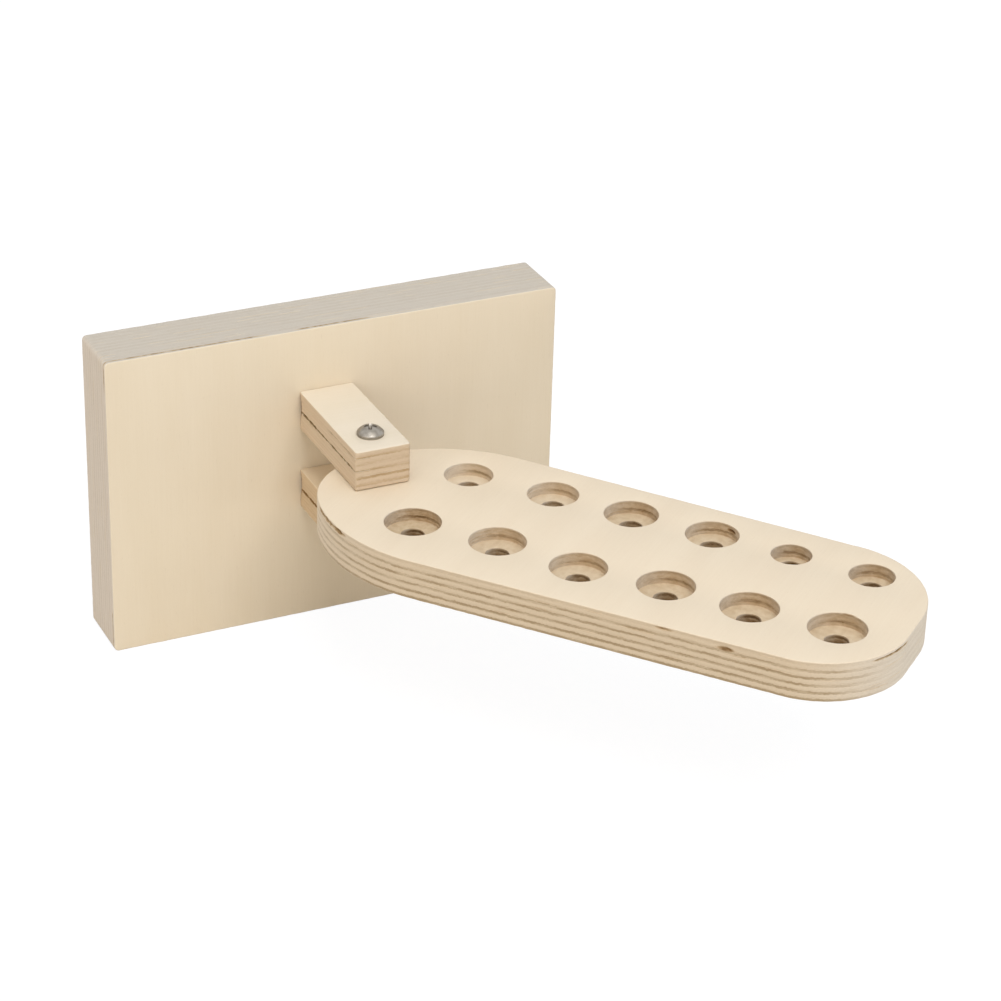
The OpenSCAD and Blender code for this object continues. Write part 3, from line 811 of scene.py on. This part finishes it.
def make_plate():
    """The back plate. Its face is the front one, so depth runs back to the wall. The wood screws come through
    from behind, and the pilot holes are in its back. The face veneer's glue has let go in four places."""
    lo, hi = box_mm("back_plate")
    place = Matrix.Translation((0, lo.y, 0)) @ Matrix.Rotation(math.radians(90), 4, "X")
    thick = hi.y - lo.y
    runs = (((-103, hi.z), (-30, hi.z)), ((-20, hi.z), (18, hi.z)),
            ((lo.x, hi.z + 1), (lo.x, hi.z - 15)), ((lo.x, lo.z + 20), (lo.x, lo.z - 1)))
    splits = [Split(depth=thick / PLATE_PLIES, start=Vector(start), end=Vector(end), deep=1, wide=0.6)
              for start, end in runs]
    sheet = Sheet(place=place, thick=thick, plies=PLATE_PLIES, grain=Vector((0, 1)), seed=1, ease=0.6,
                  step=1.25, splits=splits, nicks=())
    shell = Shell()
    holes = []
    for node in ("upper_arm_screws", "lower_arm_screws"):
        screw_lo, screw_hi = box_mm(node)
        head_r = (screw_hi.z - screw_lo.z) / 2 + WOOD_HEAD_CLEAR
        holes += [sunk_hole(shell, sheet, Vector(at), WOOD_SCREW_R, head_r) for at in wood_screws(node)]
    pattern = next(m["dims"] for m in frame["record"]["mounts"] if m["name"] == "wall_screws")
    reach_x, reach_z = pattern["spacing_x_mm"] / 2, pattern["spacing_y_mm"] / 2
    behind = [blind_hole(shell, sheet, Vector((x * reach_x, z * reach_z)), pattern["hole_r_mm"], PILOT_DEEP)
              for x in (-1, 1) for z in (-1, 1)]
    add_sheet(shell, sheet, rectangle((lo.x, lo.z), (hi.x, hi.z), PLATE_CORNER), holes, behind)
    edge = Edge(side="#cec7bc", end="#e5dace", dark="#b6a894", glue="#b3a696", faced=0.2, crossed=0.2)
    wood = birch_plywood("birch_plywood_plate", sheet, ("#eaddc7", "#e6d8c0"), edge)
    settle(shell.make("back_plate_wood", place, wood), "bracket", "back_plate")


def cad_copy(node):
    """A CAD node's surface as a closed bmesh in millimetres, with its flat stretches in one face each."""
    bm = bmesh.new()
    bm.from_mesh(frame["nodes"][node].data)
    bmesh.ops.scale(bm, vec=(1 / MM, 1 / MM, 1 / MM), verts=bm.verts)
    bmesh.ops.remove_doubles(bm, verts=bm.verts, dist=0.001)
    bmesh.ops.dissolve_limit(bm, angle_limit=math.radians(0.5), verts=bm.verts, edges=bm.edges)
    return bm


def ease_edges(bm, width):
    """Rounds off the sharp edges of a piece of hardware, as its tools and the tumbling barrel do."""
    sharp = [e for e in bm.edges if len(e.link_faces) == 2 and e.calc_face_angle() > math.radians(BLUNT)]
    bmesh.ops.bevel(bm, geom=sharp, offset=width, offset_type="OFFSET", segments=2, profile=0.5,
                    affect="EDGES", clamp_overlap=True)


def metal_piece(node, bm, material):
    """Puts an eased piece of hardware, of metal or nylon, in the place of its CAD node."""
    bmesh.ops.scale(bm, vec=(MM, MM, MM), verts=bm.verts)
    data = bpy.data.meshes.new(node + "_metal")
    bm.to_mesh(data)
    bm.free()
    data.polygons.foreach_set("use_smooth", [True] * len(data.polygons))
    data.set_sharp_from_angle(angle=math.radians(CRISP_METAL))
    thing = new_object(node + "_metal", data, material)
    settle(thing, "bracket", node)
    return thing


def cut_thread(bm, centre, low):
    """Winds an M6 thread on the end of the pivot screw's plain shank. The shank is cut off where the thread
    starts, and a column of points goes down from each point of its rim, with four points in each turn."""
    top = low + THREAD_LONG
    geom = list(bm.verts) + list(bm.edges) + list(bm.faces)
    bmesh.ops.bisect_plane(bm, geom=geom, dist=0.0001, plane_co=(0, 0, top), plane_no=(0, 0, 1),
                           clear_inner=True)

    def angle(v):
        return math.atan2(v.co.y - centre.y, v.co.x - centre.x)

    rim = sorted((v for v in bm.verts if v.is_boundary), key=angle)
    major = (rim[0].co.xy - centre).length
    # Where a turn of the thread bends, as shares of the pitch, and how deep it is cut there
    bends = ((0.125, 1), (0.4375, 0), (0.5625, 0), (0.875, 1))
    grid = []
    for k in range(len(rim)):
        out = (rim[k].co.xy - centre).normalized()
        column = [rim[k]]
        for step in range(-4, 4 * (round(THREAD_LONG / PITCH) + 1)):
            share, cut = bends[step % 4]
            z = top - (step // 4 + share + k / len(rim)) * PITCH
            inside = min(max(z, low), top)
            run_in = min(1, (top - inside) / PITCH)
            radius = min(major - THREAD_DEEP * cut * run_in, TIP_R + (inside - low))
            column.append(bm.verts.new((*(centre + out * radius), inside)))
        grid.append(column)
    for k in range(len(rim)):
        near, after = grid[k], grid[(k + 1) % len(rim)]
        ahead = 4 if k == len(rim) - 1 else 0
        for step in range(len(near) - 1 - ahead):
            corners = (near[step], near[step + 1], after[step + 1 + ahead], after[step + ahead])
            if step == 0 and ahead:
                corners = (near[0], near[1], after[1 + ahead], after[0])
            bm.faces.new(corners)
    bmesh.ops.remove_doubles(bm, verts=bm.verts, dist=0.0005)
    bmesh.ops.holes_fill(bm, edges=[e for e in bm.edges if e.is_boundary], sides=0)
    bmesh.ops.recalc_face_normals(bm, faces=bm.faces)


def shade_recess(screw):
    """Marks the points deep in the pivot screw's cross recess as hollow, by their depth under the dome, so
    that they get painted shade.
    """
    middle, top = pivot_mm(), max(v.co.z for v in screw.data.vertices) / MM
    dome_r = (HEAD_R ** 2 + DOME_H ** 2) / (2 * DOME_H)
    marks = []
    for v in screw.data.vertices:
        out = (v.co.xy / MM - middle).length
        under = top - out ** 2 / (2 * dome_r) - v.co.z / MM
        in_recess = out < HEAD_R * RECESS_SHARE and under < DOME_H * RECESS_SHADE_LIMIT
        marks.append(min(1, max(0, under - RECESS_SHADE_FROM) / RECESS_SHADE_OVER) if in_recess else 0)
    screw.data.attributes.new("hollow", "FLOAT", "POINT").data.foreach_set("value", marks)


def make_hardware():
    """The pivot's screw, washers and nut, the nut's ring and the wood screws."""
    zinc = plated_steel("zinc_plated_steel_bright", "#a9a39a", "#8d877e", 0.42)
    yellow = plated_steel("zinc_plated_steel_yellow", "#d6c073", "#b59a62", 0.35)
    nylon = moulded_nylon("moulded_nylon_blue", "#2f6ea8", "#5c93c2")
    screw = cad_copy("pivot_screw")
    ease_edges(screw, SCREW_EASE)
    cut_thread(screw, pivot_mm(), box_mm("pivot_screw")[0].z)
    screw = metal_piece("pivot_screw", screw, zinc)
    shade_recess(screw)
    others = (("thrust_washer", STAMPED_EASE, "zinc_plated_steel", zinc),
              ("nut_washer", STAMPED_EASE, "zinc_plated_steel", zinc),
              ("lock_nut", STAMPED_EASE, "zinc_plated_steel", zinc),
              ("upper_arm_screws", WOOD_SCREW_EASE, "yellow_zinc_steel", yellow),
              ("lower_arm_screws", WOOD_SCREW_EASE, "yellow_zinc_steel", yellow),
              ("nut_ring", RING_EASE, "nylon", nylon))
    for node, ease, slot, material in others:
        piece = cad_copy(node)
        ease_edges(piece, ease)
        metal_piece(node, piece, material)


def make_camera():
    """The photograph's camera."""
    a, e, r = (math.radians(x) for x in (CAMERA_AZIMUTH, CAMERA_ELEVATION, CAMERA_ROLL))
    back = Vector((math.sin(a) * math.cos(e), -math.cos(a) * math.cos(e), math.sin(e)))
    level = Vector((math.cos(a), math.sin(a), 0))
    rise = back.cross(level)
    right = math.cos(r) * level + math.sin(r) * rise
    up = math.cos(r) * rise - math.sin(r) * level
    turn = Matrix((right, up, back)).transposed().to_4x4()
    camera = bpy.data.objects.new("camera", bpy.data.cameras.new("camera"))
    camera.matrix_world = Matrix.Translation(Vector(CAMERA_AT) * MM) @ turn
    camera.data.sensor_width = SENSOR
    camera.data.lens = FOCAL_PX / IMAGE * SENSOR
    camera.data.clip_start, camera.data.clip_end = 0.05, 50
    bpy.context.scene.collection.objects.link(camera)
    bpy.context.scene.camera = camera


def lamp(name, at, size, power, tint="#ffffff"):
    """A square soft box at a place, in metres, aimed at the rack."""
    data = bpy.data.lights.new(name, "AREA")
    data.shape, data.size, data.energy = "SQUARE", size, power
    data.color = linear(tint)[:3]
    box = bpy.data.objects.new(name, data)
    box.location = at
    box.rotation_euler = (Vector(at) - LAMPS_AIM).to_track_quat("Z", "Y").to_euler()
    bpy.context.scene.collection.objects.link(box)


def seen_directly(tree):
    """1 where a ray from the camera, or one that a gloss or clear surface sends on, meets the surface."""
    ray = add(tree, "ShaderNodeLightPath").outputs
    seen = add(tree, "ShaderNodeMath", {0: ray["Is Camera Ray"], 1: ray["Is Glossy Ray"]},
               operation="MAXIMUM").outputs[0]
    return add(tree, "ShaderNodeMath", {0: seen, 1: ray["Is Transmission Ray"]},
               operation="MAXIMUM").outputs[0]


def make_studio():
    """A white room, brighter overhead than at its walls, with a large soft box high in front, a smaller and
    warmer one on the left, and a floor of white paper under the plate."""
    world = bpy.data.worlds.new("studio")
    world.use_nodes = True
    tree = world.node_tree
    tree.nodes.clear()
    way = add(tree, "ShaderNodeTexCoord").outputs["Generated"]
    height = add(tree, "ShaderNodeSeparateXYZ", {0: way}).outputs["Z"]
    room = add(tree, "ShaderNodeMapRange", {0: height, 1: 0, 2: 1, 3: ROOM_LOW, 4: ROOM_HIGH}).outputs[0]
    strength = add(tree, "ShaderNodeMix", {"Factor": seen_directly(tree), "A": room, "B": 1.0})
    glow = add(tree, "ShaderNodeBackground", {"Color": (1, 1, 1, 1), "Strength": strength.outputs["Result"]})
    add(tree, "ShaderNodeOutputWorld", {0: glow.outputs[0]})
    bpy.context.scene.world = world
    lamp("key", at=(-0.05, -2.05, 2.85), size=2, power=57)
    lamp("fill", at=(-1.9, -1.1, 1.0), size=1.35, power=11, tint="#fff3e3")

    material, tree = new_material("white_paper_floor")
    paper = add(tree, "ShaderNodeBsdfDiffuse", {"Color": linear(FLOOR_PAPER)}).outputs[0]
    white = add(tree, "ShaderNodeEmission", {"Color": FLOOR_WHITE, "Strength": FLOOR_GLOW}).outputs[0]
    share = add(tree, "ShaderNodeMath", {0: seen_directly(tree), 1: GLOW_SHARE},
                operation="MULTIPLY").outputs[0]
    mixed = add(tree, "ShaderNodeMixShader", {0: share, 1: paper, 2: white})
    add(tree, "ShaderNodeOutputMaterial", {0: mixed.outputs[0]})
    mesh = bpy.data.meshes.new("floor")
    low = cad_box[0].z
    corners = [(x * FLOOR_HALF, y * FLOOR_HALF, low) for x, y in ((-1, -1), (1, -1), (1, 1), (-1, 1))]
    mesh.from_pydata(corners, [], [(0, 1, 2, 3)])
    new_object("floor", mesh, material)


bpy.context.scene.view_settings.view_transform = "Standard"
make_camera()
make_studio()
make_board()
make_arm("upper_arm", seed=2, face=("#e9decd", "#e4d8c2"), sawn="#d8c4ab")
# The lower arm's face and sawn colours are darker than the upper arm's: painted shade from the board and the
# upper arm above it
make_arm("lower_arm", seed=3, face=("#e4d2b8", "#dcc8aa"), sawn="#d3bc9d")
make_plate()
make_hardware()
